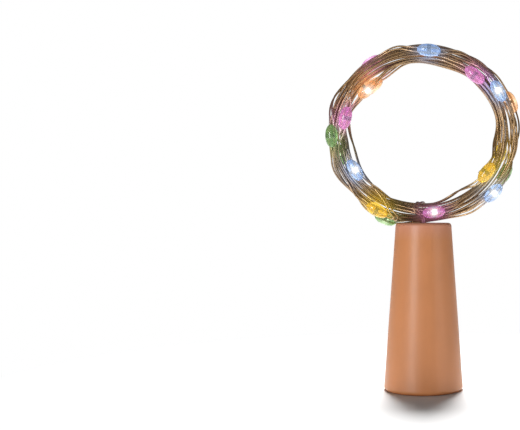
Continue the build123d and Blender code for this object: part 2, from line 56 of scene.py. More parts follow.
# Places that come from the frame
CORK_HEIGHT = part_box("cork_shell")[1].z
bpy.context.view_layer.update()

# The string's route, in metres and degrees, close to the one in the part's source
WIRE_DIAMETER = 0.0007
COIL_TURNS = 13.597
COIL_SLOTS = 14
COIL_START_ANGLE = 180.0
COIL_LOWEST_ANGLE = 270.0
COIL_START_PHASE = 208.6
COIL_HALF_WIDTH = 0.0249
COIL_HALF_HEIGHT = 0.0233
COIL_MIDDLE_X = -0.0004
COIL_MIDDLE_Y = 0.0042
COIL_BASE_GAP = 0.00025
COIL_SAG = 0.0006
TOP_REST_RADIUS = 0.009
TOP_REST_LIFT = 0.0006
BUNDLE_RADIUS = 0.00278
BUNDLE_SWELL = 0.00016
BUNDLE_SWELL_ANGLE = 345.0
LEAD_LAST_RUN = 0.004
HEAD_LIFT = 0.0014
HEAD_ANGLE = 18.0
HOOK_REACH = 0.005
TAIL_LIFT = 0.0012
LEAD_START = [
    (0.0, 0.0, 0.048),
    (0.0, 0.0, 0.0498),
    (-0.0023, -0.0020, 0.0512),
    (-0.0022, -0.0014, 0.0528),
    (-0.0013, 0.0018, 0.0542),
    (0.0002, 0.0072, 0.0534),
    (0.0002, 0.0092, 0.0504),
    (-0.0046, 0.0099, 0.0490),
    (-0.0086, 0.0068, 0.0486),
    (-0.0092, 0.0014, 0.0489),
    (-0.0074, -0.0014, 0.0493),
    (-0.0094, -0.0010, 0.0512),
]

# The lead's climb: the angle round the ring, the angle round the bundle and the lift over its wires
LEAD_CLIMB = [
    (247, 92, 0.0020),
    (240, 120, 0.0013),
    (229, 142, 0.0010),
    (212, 168, 0.0009),
]

# Lights along the coil: their shares of its turns, their colours, and how far they stand
# aside of their place round the bundle, in degrees
LIGHT_SHARES = [
    0.0097, 0.0625, 0.1132, 0.1669, 0.2177,
    0.2629, 0.3058, 0.3539, 0.4001, 0.4408,
    0.4866, 0.5340, 0.5758, 0.6192, 0.6643,
    0.7153, 0.7621, 0.8173, 0.8762, 0.9263,
]
LIGHT_ORDER = [
    "orange", "yellow", "yellow", "orange", "green",
    "green", "pink", "green", "orange", "green",
    "white", "white", "yellow", "white", "pink",
    "pink", "pink", "orange", "white", "yellow",
]
LIGHT_ASIDES = [
    10, 30, 12, 0, -10,
    0, -18, -12, -38, 72,
    37, 50, 12, 20, 37,
    -9, -6, 10, -38, -54,
]

# Lights whose chip is lit on the outer side
FACING_OUT = {0, 3, 6, 7, 8, 10, 13, 15, 17, 18}

# How the wire rises out of the bundle to a drop, and at the strays between the drops
DROP_RISE = 0.0022
DROP_STRAIGHT = 0.0036
DROP_REACH = 0.0115
REACH_PER_DEGREE = 0.0001
STRAY_SHARES = [0.4125, 0.4678, 0.5538, 0.7840, 0.9039]
STRAY_LIFTS = [0.0009, 0.0011, 0.0010, 0.0008, 0.0009]
STRAY_REACH = 0.010

# How loose wires wander: the pace, the share of the seed, the start and the weight of each sine
WAVE_PARTS = [
    (1.37, 1.0, 0.0, 0.45),
    (0.61, 2.3, 1.0, 0.35),
    (2.83, 4.1, 0.0, 0.2),
]
SLACK_SEED = 0.7
SINK_SEED = 2.9
LINE_STEPS = 4


# The route


def bundle_size(angle):
    return BUNDLE_RADIUS + BUNDLE_SWELL * math.cos(math.radians(angle - BUNDLE_SWELL_ANGLE))


COIL_MIDDLE_Z = (
    CORK_HEIGHT + COIL_BASE_GAP + WIRE_DIAMETER / 2
    + bundle_size(COIL_LOWEST_ANGLE) + COIL_HALF_HEIGHT - COIL_SAG
)


def bundle_middle(angle):
    """The centre of the bundle at an angle round the ring."""
    x = COIL_MIDDLE_X + COIL_HALF_WIDTH * math.cos(math.radians(angle))
    z = COIL_MIDDLE_Z + COIL_HALF_HEIGHT * math.sin(math.radians(angle))
    return Vector((x, COIL_MIDDLE_Y, z))


def over_bundle(angle, phase, lift):
    """A point on or over the bundle's wires, given round the ring and round the bundle."""
    around = math.radians(angle)
    turned = math.radians(phase)
    size = bundle_size(angle) + lift
    outward = Vector((math.cos(around), 0, math.sin(around)))
    across = outward * (size * math.cos(turned))
    return bundle_middle(angle) + across - Vector((0, size * math.sin(turned), 0))


def outward_of(point):
    """The direction out of the bundle at a point."""
    x = (point.x - COIL_MIDDLE_X) / COIL_HALF_WIDTH
    z = (point.z - COIL_MIDDLE_Z) / COIL_HALF_HEIGHT
    return point - bundle_middle(math.degrees(math.atan2(z, x)))


def turn_length(turn):
    """How much wire a whole turn takes, where the wire lies at this turn."""
    phase = math.radians(COIL_START_PHASE + 360 * turn / COIL_SLOTS)
    mean = (COIL_HALF_WIDTH + COIL_HALF_HEIGHT) / 2
    return 2 * math.pi * (mean + BUNDLE_RADIUS * math.cos(phase))


def fade(distance, near, far):
    """1 up to the near distance, 0 from the far one, and smooth between them."""
    share = min(max((far - distance) / (far - near), 0), 1)
    return share * share * (3 - 2 * share)


def nearest_light(turn):
    """The nearest light along the wire: its distance, and how far it stands aside, in degrees."""
    gaps = [abs(turn - share * COIL_TURNS) for share in LIGHT_SHARES]
    nearest = gaps.index(min(gaps))
    return gaps[nearest] * turn_length(turn), LIGHT_ASIDES[nearest]


def lift_at(turn):
    """How far the wire stands out of the bundle."""
    length = turn_length(turn)
    distance, aside = nearest_light(turn)
    lift = DROP_RISE * fade(distance, DROP_STRAIGHT, DROP_REACH + REACH_PER_DEGREE * abs(aside))
    for share, height in zip(STRAY_SHARES, STRAY_LIFTS):
        lift = max(lift, height * fade(abs(turn - share * COIL_TURNS) * length, 0, STRAY_REACH))
    lift = max(lift, HEAD_LIFT * fade(turn * length, 0, HOOK_REACH))
    return max(lift, TAIL_LIFT * fade((COIL_TURNS - turn) * length, 0, HOOK_REACH))


def wave(value, seed):
    """A smooth number from -1 to 1 that doesn't repeat from turn to turn."""
    total = 0
    for pace, seed_share, start, weight in WAVE_PARTS:
        total += weight * math.sin(2 * math.pi * value * pace + seed_share * seed + start)
    return total


def coil_point(turn, slack, sink):
    """A point of the coil, where loose wires wander, sink in, and stay over the cork's top."""
    distance, aside = nearest_light(turn)
    reach = DROP_REACH + REACH_PER_DEGREE * abs(aside)
    loose = 1 - fade(distance, DROP_STRAIGHT, reach)
    loose *= 1 - fade(min(turn, COIL_TURNS - turn) * turn_length(turn), HOOK_REACH, 2 * DROP_REACH)
    phase = COIL_START_PHASE + 360 * turn / COIL_SLOTS
    phase += aside * fade(distance, DROP_STRAIGHT, reach - DROP_STRAIGHT)
    phase += slack * loose * wave(turn, SLACK_SEED)
    lift = lift_at(turn) - sink * loose * (0.5 + 0.5 * wave(turn, SINK_SEED))
    point = over_bundle(COIL_START_ANGLE - 360 * turn, phase, lift)
    if math.hypot(point.x, point.y) < TOP_REST_RADIUS:
        point.z = max(point.z, CORK_HEIGHT + TOP_REST_LIFT)
    return point


def route_points(slack, sink, points_per_turn):
    """The control points from the hole in the cork to the free end."""
    start = over_bundle(COIL_START_ANGLE, COIL_START_PHASE, HEAD_LIFT)
    step = 1 / points_per_turn
    ahead = (coil_point(step, 0, 0) - coil_point(0, 0, 0)).normalized()
    angle = math.radians(HEAD_ANGLE)
    across = ahead.cross(outward_of(start).normalized())
    way = ahead * math.cos(angle) + across * math.sin(angle)
    points = [Vector(point) for point in LEAD_START]
    points += [over_bundle(*place) for place in LEAD_CLIMB]
    points += [start - way * LEAD_LAST_RUN, start]
    count = math.floor(COIL_TURNS * points_per_turn)
    points += [coil_point(index * step, slack, sink) for index in range(2, count)]
    points.append(coil_point(COIL_TURNS, slack, sink))
    last = (points[-1] - points[-2]).normalized()
    points.append(points[-1] + last * WIRE_DIAMETER)
    return points


def route_line(points):
    """The points of the smooth line that the control points give."""
    curve = bpy.data.curves.new("route", "CURVE")
    curve.dimensions = "3D"
    spline = curve.splines.new("NURBS")
    spline.points.add(len(points) - 1)
    for place, point in zip(spline.points, points):
        place.co = (*point, 1)
    spline.order_u = 3
    spline.use_endpoint_u = True
    spline.resolution_u = LINE_STEPS
    holder = bpy.data.objects.new("route", curve)
    mesh = bpy.data.meshes.new_from_object(holder)
    line = [vertex.co.copy() for vertex in mesh.vertices]
    bpy.data.meshes.remove(mesh)
    bpy.data.objects.remove(holder)
    bpy.data.curves.remove(curve)
    return line


# Shader helpers


OBJECT_COORDINATES = 3
CAMERA_RAY = 0
GLOSSY_RAY = 3
TRANSMISSION_RAY = 6
ATTRIBUTE_COLOUR = 0
ATTRIBUTE_NUMBER = 2
ATTRIBUTE_ALPHA = 3
WHITE = (1, 1, 1, 1)


class Shade:
    """A socket that takes part in sums."""

    def __init__(self, nodes, socket):
        self.nodes = nodes
        self.socket = socket

    def _math(self, operation, first, second):
        return self.nodes.node("ShaderNodeMath", {"operation": operation}, {0: first, 1: second})[0]

    def __add__(self, other):
        return self._math("ADD", self, other)

    def __radd__(self, other):
        return self._math("ADD", other, self)

    def __mul__(self, other):
        return self._math("MULTIPLY", self, other)

    def __rmul__(self, other):
        return self._math("MULTIPLY", other, self)


class Nodes:
    """A tree of shader nodes in the making."""

    def __init__(self, tree):
        self.tree = tree

    def put(self, socket, value):
        if isinstance(value, Shade):
            self.tree.links.new(value.socket, socket)
        else:
            socket.default_value = value

    def node(self, kind, settings, inputs):
        """A node with its settings and inputs, given back as its outputs."""
        made = self.tree.nodes.new(kind)
        for name, value in settings.items():
            if name == "stops":
                self.set_stops(made.color_ramp, value)
            else:
                setattr(made, name, value)
        for name, value in inputs.items():
            self.put(made.inputs[name], value)
        return [Shade(self, socket) for socket in made.outputs]

    def set_stops(self, ramp, stops):
        for element, (position, value) in zip(ramp.elements, stops):
            element.position = position
            element.color = (value, value, value, 1)

    def either_ray(self, first, second):
        """1 where the ray is of one of two kinds."""
        rays = self.node("ShaderNodeLightPath", {}, {})
        return self.node("ShaderNodeMath", {"operation": "MAXIMUM"}, {0: rays[first], 1: rays[second]})[0]


class Finish(Nodes):
    """A node material in the making."""

    def __init__(self, name):
        self.material = bpy.data.materials.new(name)
        self.material.use_nodes = True
        super().__init__(self.material.node_tree)
        self.shader = self.tree.nodes["Principled BSDF"]
        self.output = self.tree.nodes["Material Output"]

    def set(self, **values):
        """Values or links of the shader's own sockets, with underscores for spaces."""
        for name, value in values.items():
            self.put(self.shader.inputs[name.replace("_", " ")], value)

    def coordinates(self):
        """The object's own coordinates, in metres."""
        return self.node("ShaderNodeTexCoord", {}, {})[OBJECT_COORDINATES]

    def place(self, stretch=(1, 1, 1)):
        """The object's own coordinates, each times its share of the stretch."""
        return self.node("ShaderNodeMapping", {}, {"Vector": self.coordinates(), "Scale": stretch})[0]

    def noise(self, scale, detail, stretch=(1, 1, 1)):
        inputs = {"Vector": self.place(stretch), "Scale": scale, "Detail": detail}
        return self.node("ShaderNodeTexNoise", {}, inputs)[0]

    def ramp(self, value, start, end, top=1):
        """0 up to the start, the top from the end, and even between them."""
        return self.node("ShaderNodeValToRGB", {"stops": [(start, 0), (end, top)]}, {0: value})[0]

    def blend(self, share, first, second):
        """A colour between two colours."""
        settings = {"data_type": "RGBA"}
        return self.node("ShaderNodeMix", settings, {0: share, 6: first, 7: second})[2]

    def bump(self, height, strength, distance):
        inputs = {"Height": height, "Strength": strength, "Distance": distance}
        self.set(Normal=self.node("ShaderNodeBump", {}, inputs)[0])


def opaque(colour, brightness=1.0):
    return (*(value * brightness for value in colour), 1)


# Finishes


RIM_GLOW_LOW = CORK_HEIGHT - 0.0035
RIM_GLOW_HIGH = CORK_HEIGHT - 0.0001
RIM_GLOW_SHARE = 0.6
DRAWN_STRETCH = (1, 1, 0.15)
FLOW_STRETCH = (1, 1, 0.12)
PALE_SHARE = 0.8
# Grey emission of the lit chip's painted glow in a drop
PAINTED_GLOW_GREY = (0.7, 0.7, 0.7, 1)
DIE_LIGHT = (1, 0.98, 0.95, 1)
DIE_CREAM = (0.95, 0.9, 0.8, 1)


def moulded_plastic(name, colour, roughness, rim):
    """Smooth moulded plastic with faint flow marks, tinted by the lights near the cork's top."""
    finish = Finish(name)
    clouds = finish.noise(scale=90, detail=3)
    flow = finish.noise(scale=260, detail=2, stretch=FLOW_STRETCH)
    skin = finish.noise(scale=2600, detail=2)
    rubs = finish.ramp(finish.noise(scale=520, detail=6), start=0.56, end=0.74)
    shade = finish.ramp(clouds * 0.65 + flow * 0.35, start=0.3, end=0.7)
    tone = finish.blend(shade, opaque(colour, brightness=0.93), opaque(colour, brightness=1.06))
    tone = finish.blend(rubs * 0.08, tone, opaque(colour, brightness=1.35))
    height = finish.node("ShaderNodeSeparateXYZ", {}, {0: finish.place()})[2]
    glow = finish.ramp(height, start=RIM_GLOW_LOW, end=RIM_GLOW_HIGH, top=RIM_GLOW_SHARE)
    finish.set(Base_Color=finish.blend(glow, tone, opaque(rim)))
    finish.set(Roughness=roughness + flow * 0.06 + rubs * 0.12)
    finish.set(IOR=1.5, Coat_Weight=0.12, Coat_Roughness=0.22)
    finish.bump(skin * 0.6 + flow * 0.4, strength=0.25, distance=0.00004)
    return finish


def metal(name, colour, roughness, grain=900):
    """Drawn or plated metal with streaks and small stains."""
    finish = Finish(name)
    streaks = finish.noise(scale=grain, detail=3, stretch=DRAWN_STRETCH)
    stains = finish.ramp(finish.noise(scale=700, detail=4), start=0.45, end=0.75)
    tone = finish.blend(streaks, opaque(colour, brightness=0.85), opaque(colour, brightness=1.1))
    finish.set(Base_Color=finish.blend(stains * 0.4, tone, opaque(colour, brightness=0.6)))
    finish.set(Metallic=1.0, Roughness=roughness + streaks * 0.12 + stains * 0.1)
    finish.bump(streaks, strength=0.2, distance=0.00002)
    return finish


def dull_plastic(name, colour, roughness):
    """Plastic, rubber or paste with a matt skin."""
    finish = Finish(name)
    skin = finish.noise(scale=3000, detail=3)
    clouds = finish.noise(scale=400, detail=2)
    dark = opaque(colour, brightness=0.85)
    finish.set(Base_Color=finish.blend(clouds, dark, opaque(colour, brightness=1.15)))
    finish.set(Roughness=roughness + skin * 0.1)
    finish.bump(skin, strength=0.3, distance=0.00003)
    return finish


def circuit_board(name, colour):
    """Lacquered board with faint raised tracks."""
    finish = Finish(name)
    inputs = {"Vector": finish.place(), "Scale": 620.0, "Randomness": 0.0}
    settings = {"distance": "CHEBYCHEV", "feature": "F1"}
    cells = finish.node("ShaderNodeTexVoronoi", settings, inputs)[0]
    tracks = finish.ramp(cells, start=0.36, end=0.42)
    clouds = finish.noise(scale=700, detail=3)
    lacquer = finish.blend(clouds, opaque(colour, brightness=0.8), opaque(colour, brightness=1.15))
    finish.set(Base_Color=finish.blend(tracks * 0.55, lacquer, opaque(colour, brightness=2.1)))
    finish.set(Roughness=0.28 + clouds * 0.15, Coat_Weight=0.5)
    finish.bump(tracks, strength=0.3, distance=0.00003)
    return finish


def lacquered_wire(name, colour):
    """Copper strand under a brown lacquer, coloured by the lights beside it."""
    finish = Finish(name)
    glow = finish.node("ShaderNodeAttribute", {"attribute_name": "glow"}, {})
    light = glow[ATTRIBUTE_COLOUR]
    shift = finish.noise(scale=160, detail=3)
    specks = finish.ramp(finish.noise(scale=1500, detail=3), start=0.5, end=0.8)
    lacquer = finish.blend(shift, opaque(colour, brightness=0.3), opaque(colour, brightness=1.6))
    lacquer = finish.blend(specks * 0.35, lacquer, opaque(colour, brightness=0.35))
    finish.set(Base_Color=finish.blend(glow[ATTRIBUTE_ALPHA] * 0.75, lacquer, light))
    finish.set(Metallic=0.8, Roughness=0.2 + shift * 0.16 + specks * 0.1)
    finish.set(Coat_Weight=0.35, Coat_Roughness=0.06)
    finish.set(Emission_Color=light, Emission_Strength=0.15)
    finish.bump(specks, strength=0.12, distance=0.00003)
    return finish


def clear_drop(name, colour, strength):
    """Clear tinted resin with a painted glow: a faint glow of its tint, and palest, with a grey glow,
    where the lit chip shows through.
    """
    finish = Finish(name)
    heart = finish.node("ShaderNodeAttribute", {"attribute_name": "heart"}, {})[ATTRIBUTE_NUMBER]
    waves = finish.noise(scale=260, detail=1)
    pale = tuple(1 - (1 - value) * PALE_SHARE for value in colour)
    tint = finish.blend(waves, opaque(colour), opaque(pale))
    # Where the lit chip shows through, its glow is painted in: a grey emission and a colour blended
    # towards white.
    light = finish.blend(heart, opaque(colour, brightness=strength), PAINTED_GLOW_GREY)
    finish.set(Base_Color=finish.blend(heart * 0.7, tint, WHITE))
    finish.set(Roughness=0.02 + waves * 0.03, IOR=1.34, Transmission_Weight=0.7)
    finish.set(Coat_Weight=0.5, Coat_Roughness=0.03)
    finish.set(Emission_Color=light, Emission_Strength=1.0)
    finish.bump(waves, strength=0.08, distance=0.00012)
    return finish


def lit_die(name, strength):
    """The cream face of a chip that shines."""
    finish = Finish(name)
    grain = finish.noise(scale=2500, detail=2)
    finish.set(Base_Color=finish.blend(grain, DIE_CREAM, WHITE), Roughness=0.5)
    finish.set(Emission_Color=DIE_LIGHT, Emission_Strength=strength)
    return finish


def wear(node, finish):
    """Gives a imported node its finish."""
    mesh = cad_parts[node].data
    mesh.materials.clear()
    mesh.materials.append(finish.material)


def keep(name, bm, finish, body="cork"):
    """Turns a bmesh into a piece that rides on a body."""
    mesh = bpy.data.meshes.new(name)
    bm.to_mesh(mesh)
    bm.free()
    mesh.shade_smooth()
    mesh.materials.append(finish.material)
    piece = bpy.data.objects.new(name, mesh)
    bpy.context.scene.collection.objects.link(piece)
    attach(piece, body)
    return piece


# Values that a user would change


class StringSettings(bpy.types.PropertyGroup):
    strand_diameter: FloatProperty(
        name="Strand", description="Diameter of one strand", default=0.00052, unit="LENGTH"
    )
    half_gap: FloatProperty(
        name="Half gap", description="From the pair's middle to a strand", default=0.00044, unit="LENGTH"
    )
    light_gap: FloatProperty(
        name="Half gap at a light",
        description="From the middle of a drop to a strand",
        default=0.0006,
        unit="LENGTH",
    )
    slack: FloatProperty(
        name="Slack", description="How far the turns wander round the bundle, in degrees", default=22.0
    )
    sink: FloatProperty(
        name="Sink", description="How deep loose turns sink into the bundle", default=0.0011, unit="LENGTH"
    )
    points_per_turn: IntProperty(name="Points", description="Control points in a turn", default=48)
    wire_colour: FloatVectorProperty(
        name="Wire", description="Lacquered copper", default=(0.42, 0.262, 0.12), subtype="COLOR"
    )


class LightSettings(bpy.types.PropertyGroup):
    half_length: FloatProperty(
        name="Half length", description="Half a drop's length", default=0.0034, unit="LENGTH"
    )
    radius: FloatProperty(name="Radius", description="A drop's radius", default=0.00195, unit="LENGTH")
    pink: FloatVectorProperty(
        name="Pink", description="Pink light", default=(0.85, 0.32, 0.72), subtype="COLOR"
    )
    white: FloatVectorProperty(
        name="White", description="Cold white light", default=(0.42, 0.62, 0.98), subtype="COLOR"
    )
    green: FloatVectorProperty(
        name="Green", description="Green light", default=(0.22, 0.42, 0.12), subtype="COLOR"
    )
    yellow: FloatVectorProperty(
        name="Yellow", description="Yellow light", default=(0.98, 0.66, 0.02), subtype="COLOR"
    )
    orange: FloatVectorProperty(
        name="Orange", description="Orange light", default=(0.95, 0.52, 0.22), subtype="COLOR"
    )
    shine: FloatProperty(name="Shine", description="How brightly a drop is lit", default=0.15)
    die_shine: FloatProperty(name="Die shine", description="How brightly the die is lit", default=2.0)
    glow_reach: FloatProperty(
        name="Glow reach", description="How far a light colours the wires", default=0.0048, unit="LENGTH"
    )


class CorkSettings(bpy.types.PropertyGroup):
    plastic: FloatVectorProperty(
        name="Plastic", description="Tan plastic", default=(0.52, 0.2, 0.072), subtype="COLOR"
    )
    rim: FloatVectorProperty(
        name="Rim",
        description="Plastic at the top rim, lit by the lights",
        default=(0.56, 0.25, 0.19),
        subtype="COLOR",
    )
    roughness: FloatProperty(name="Roughness", description="Roughness of the plastic", default=0.42)


class StageSettings(bpy.types.PropertyGroup):
    camera_distance: FloatProperty(
        name="Distance", description="Camera to the cork's axis", default=0.28, unit="LENGTH"
    )
    camera_height: FloatProperty(
        name="Height", description="Camera above the floor", default=0.051, unit="LENGTH"
    )
    lens: FloatProperty(name="Lens", description="Focal length in millimetres", default=67.2)
    axis_column: FloatProperty(
        name="Axis column", description="Pixel column of the cork's axis", default=423.5
    )
    eye_row: FloatProperty(name="Eye row", description="Pixel row at the camera's height", default=212.4)
    key_power: FloatProperty(
        name="Key", description="Tall lamp at the left front", default=1.8, unit="POWER"
    )
    fill_power: FloatProperty(
        name="Fill", description="Soft lamp at the right front", default=0.48, unit="POWER"
    )
    top_power: FloatProperty(
        name="Top", description="Lamp over the back, which casts the shadow", default=5.2, unit="POWER"
    )


LIGHT_KINDS = ["pink", "white", "green", "yellow", "orange"]


def settings(name):
    return getattr(bpy.context.scene, name)


# Camera, floor and lamps, in metres


PHOTO_WIDTH = 520
PHOTO_HEIGHT = 430
NEAREST_SEEN = 0.01
KEY_PLACE = (-0.29, -0.41, 0.1)
KEY_SIZE = (0.2, 0.34)
FILL_PLACE = (0.45, -0.3, 0.1)
FILL_SIZE = (0.3, 0.3)
TOP_PLACE = (0, 0.27, 0.42)
TOP_SIZE = (0.15, 0.2)
FLOOR_RADIUS = 3.0
FLOOR_SIDES = 64
FLOOR_SHADE = 0.86
FLOOR_FADE_START = 0.05
FLOOR_FADE_END = 0.13
SKY_START = -0.1
GLOOM_BELOW = 0.08
GLOOM_ABOVE = 0.17


class STAGE_OT_build(bpy.types.Operator):
    """Make the camera, the pale floor and the soft lamps"""

    bl_idname = "cork_light.stage"
    bl_label = "Stage"

    def execute(self, context):
        values = settings("cork_stage")
        self.add_camera(values)
        floor = self.add_floor()
        self.add_world()
        key = self.add_lamp("key", KEY_PLACE, KEY_SIZE, values.key_power)
        fill = self.add_lamp("fill", FILL_PLACE, FILL_SIZE, values.fill_power)
        top = self.add_lamp("top", TOP_PLACE, TOP_SIZE, values.top_power)
        self.light_only(top, floor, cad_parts["cork_shell"])
        self.keep_off([key, fill], floor)
        return {"FINISHED"}

    def add_camera(self, values):
        data = bpy.data.cameras.new("camera")
        data.lens = values.lens
        data.shift_x = (PHOTO_WIDTH / 2 - values.axis_column) / PHOTO_WIDTH
        data.shift_y = (values.eye_row - PHOTO_HEIGHT / 2) / PHOTO_WIDTH
        data.clip_start = NEAREST_SEEN
        camera = bpy.data.objects.new("camera", data)
        camera.location = (0, -values.camera_distance, values.camera_height)
        camera.rotation_euler = (math.pi / 2, 0, 0)
        bpy.context.scene.collection.objects.link(camera)
        bpy.context.scene.camera = camera

    def add_floor(self):
        """A pale floor that fades into the backdrop's white."""
        finish = Finish("floor")
        spot = finish.coordinates()
        distance = finish.node("ShaderNodeVectorMath", {"operation": "LENGTH"}, {0: spot})[1]
        far = finish.ramp(distance, start=FLOOR_FADE_START, end=FLOOR_FADE_END)
        seen = finish.either_ray(CAMERA_RAY, GLOSSY_RAY)
        finish.set(Base_Color=(FLOOR_SHADE, FLOOR_SHADE, FLOOR_SHADE, 1), Roughness=0.9)
        finish.set(Specular_IOR_Level=0.0)
        lit = Shade(finish, finish.shader.outputs[0])
        white = finish.node("ShaderNodeEmission", {}, {"Color": WHITE, "Strength": 1.0})[0]
        mixed = finish.node("ShaderNodeMixShader", {}, {0: far * seen, 1: lit, 2: white})[0]
        finish.put(finish.output.inputs["Surface"], mixed)
        bm = bmesh.new()
        bmesh.ops.create_circle(bm, cap_ends=True, segments=FLOOR_SIDES, radius=FLOOR_RADIUS)
        mesh = bpy.data.meshes.new("floor")
        bm.to_mesh(mesh)
        bm.free()
        mesh.materials.append(finish.material)
        floor = bpy.data.objects.new("floor", mesh)
        bpy.context.scene.collection.objects.link(floor)
        return floor

    def add_world(self):
        """White to the camera and through clear pieces, and dim for all else, most of all from below."""
        world = bpy.data.worlds.new("studio")
        world.use_nodes = True
        nodes = Nodes(world.node_tree)
        seen = nodes.either_ray(CAMERA_RAY, TRANSMISSION_RAY)
        way = nodes.node("ShaderNodeTexCoord", {}, {})[0]
        rise = nodes.node("ShaderNodeSeparateXYZ", {}, {"Vector": way})[2]
        levels = {"Value": rise, "From Min": SKY_START, "To Min": GLOOM_BELOW, "To Max": GLOOM_ABOVE}
        gloom = nodes.node("ShaderNodeMapRange", {}, levels)[0]
        strength = nodes.node("ShaderNodeMix", {}, {0: seen, 2: gloom, 3: 1.0})[0]
        background = world.node_tree.nodes["Background"]
        nodes.put(background.inputs["Color"], WHITE)
        nodes.put(background.inputs["Strength"], strength)
        bpy.context.scene.world = world

    def add_lamp(self, name, place, size, power):
        """A soft lamp that faces the cork's top."""
        data = bpy.data.lights.new(name, "AREA")
        data.shape = "RECTANGLE"
        data.size, data.size_y = size
        data.energy = power
        lamp = bpy.data.objects.new(name, data)
        lamp.location = place
        aim = Vector((0, 0, CORK_HEIGHT)) - Vector(place)
        lamp.rotation_euler = aim.to_track_quat("-Z", "Y").to_euler()
        bpy.context.scene.collection.objects.link(lamp)
        return lamp

    def light_only(self, lamp, lit, casting):
        """Keeps a lamp to one lit object and one that casts its shadow."""
        lamp.light_linking.receiver_collection = bpy.data.collections.new("lit")
        lamp.light_linking.receiver_collection.objects.link(lit)
        lamp.light_linking.blocker_collection = bpy.data.collections.new("casting")
        lamp.light_linking.blocker_collection.objects.link(casting)

    def keep_off(self, lamps, unlit):
        """Keeps lamps off one object, so that the shadow on it stays dark."""
        spared = bpy.data.collections.new("spared")
        spared.objects.link(unlit)
        spared.collection_objects[0].light_linking.link_state = "EXCLUDE"
        for lamp in lamps:
            lamp.light_linking.receiver_collection = spared


# The wire string, in metres and degrees


GLOW_LIMIT = 4
GLOW_LOSS = 0.8
GLOW_LOSS_NEAR = 0.0016
GLOW_LOSS_FAR = 0.0034
GRIP_NEAR = 0.003
GRIP_FAR = 0.008
END_CLOSING = 0.006
GAP_SWELL = 0.3
GAP_PACE = 24
GAP_SEED = 1.3
TWIST = 50
TWIST_PACE = 17
TWIST_SEED = 5.1
STRAND_SMOOTHNESS = 2
FRONT = Vector((0, -1, 0))

# What the operators share: the line, the drops and the chips
WIRE = {}


class WireLine:
    """The string's middle line, with what the strands and the lights need of it."""

    def __init__(self, values):
        self.points = route_line(route_points(values.slack, values.sink, values.points_per_turn))
        self.places = [0.0]
        for before, here in zip(self.points, self.points[1:]):
            self.places.append(self.places[-1] + (here - before).length)
        last = len(self.points) - 1
        self.ways = []
        self.sides = []
        self.outs = []
        for index, point in enumerate(self.points):
            way = (self.points[min(index + 1, last)] - self.points[max(index - 1, 0)]).normalized()
            out = outward_of(point)
            out = (out - way * out.dot(way)).normalized()
            self.ways.append(way)
            self.outs.append(out)
            self.sides.append(way.cross(out))
        self.lights = [self.light_index(share) for share in LIGHT_SHARES]

    def light_index(self, share):
        target = coil_point(share * COIL_TURNS, 0, 0)
        return min(range(len(self.points)), key=lambda index: (self.points[index] - target).length)

    def light_distance(self, index):
        return min(abs(self.places[index] - self.places[light]) for light in self.lights)


def wire_line():
    if not WIRE:
        WIRE["line"] = WireLine(settings("cork_string"))
    return WIRE["line"]


def glow_at(point, line, colours, reach):
    """The colour that the lights throw on a wire, least inside a drop, and its strength."""
    total = Vector((0, 0, 0))
    strength = 0
    for index, kind in zip(line.lights, LIGHT_ORDER):
        distance = (point - line.points[index]).length
        if distance < GLOW_LIMIT * reach:
            loss = GLOW_LOSS * fade(distance, GLOW_LOSS_NEAR, GLOW_LOSS_FAR)
            weight = math.exp(-((distance / reach) ** 2)) * (1 - loss)
            total += Vector(colours[kind]) * weight
            strength += weight
    return (*total, min(strength, 1))


class STRING_OT_build(bpy.types.Operator):
    """Lay the pair of strands along the string's route"""

    bl_idname = "cork_light.string"
    bl_label = "Wire string"

    def execute(self, context):
        values = settings("cork_string")
        line = wire_line()
        bm = bmesh.new()
        for side in (-1, 1):
            strand = self.strand(line, side, values)
            bm.from_mesh(strand)
            bpy.data.meshes.remove(strand)
        piece = keep("string_wire", bm, lacquered_wire("wire", values.wire_colour))
        self.paint_glow(piece.data, line)
        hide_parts("string_lead", "string_coil")
        return {"FINISHED"}

    def strand(self, line, side, values):
        curve = bpy.data.curves.new("strand", "CURVE")
        curve.dimensions = "3D"
        curve.bevel_depth = values.strand_diameter / 2
        curve.bevel_resolution = STRAND_SMOOTHNESS
        curve.use_fill_caps = True
        spline = curve.splines.new("POLY")
        spline.points.add(len(line.points) - 1)
        for index, point in enumerate(line.points):
            spline.points[index].co = (*(point + self.offset(line, index, side, values)), 1)
        holder = bpy.data.objects.new("strand", curve)
        mesh = bpy.data.meshes.new_from_object(holder)
        bpy.data.objects.remove(holder)
        bpy.data.curves.remove(curve)
        return mesh

    def offset(self, line, index, side, values):
        """From the middle line to a strand: the pair turns and opens a little along the way."""
        place = line.places[index]
        at_light = fade(line.light_distance(index), GRIP_NEAR, GRIP_FAR)
        at_end = fade(min(place, line.places[-1] - place), 0, END_CLOSING)
        opening = values.half_gap * (1 + GAP_SWELL * wave(place * GAP_PACE, GAP_SEED) ** 2)
        gap = opening + (values.light_gap - opening) * at_light
        gap += (values.strand_diameter / 2 - gap) * at_end
        turned = math.radians(TWIST) * wave(place * TWIST_PACE, TWIST_SEED) * (1 - at_light)
        return (line.sides[index] * math.cos(turned) + line.outs[index] * math.sin(turned)) * (gap * side)

    def paint_glow(self, mesh, line):
        values = settings("cork_lights")
        colours = {kind: getattr(values, kind) for kind in LIGHT_KINDS}
        layer = mesh.color_attributes.new("glow", "FLOAT_COLOR", "POINT")
        shades = []
        for vertex in mesh.vertices:
            shades.extend(glow_at(vertex.co, line, colours, values.glow_reach))
        layer.data.foreach_set("color", shades)


# The lights


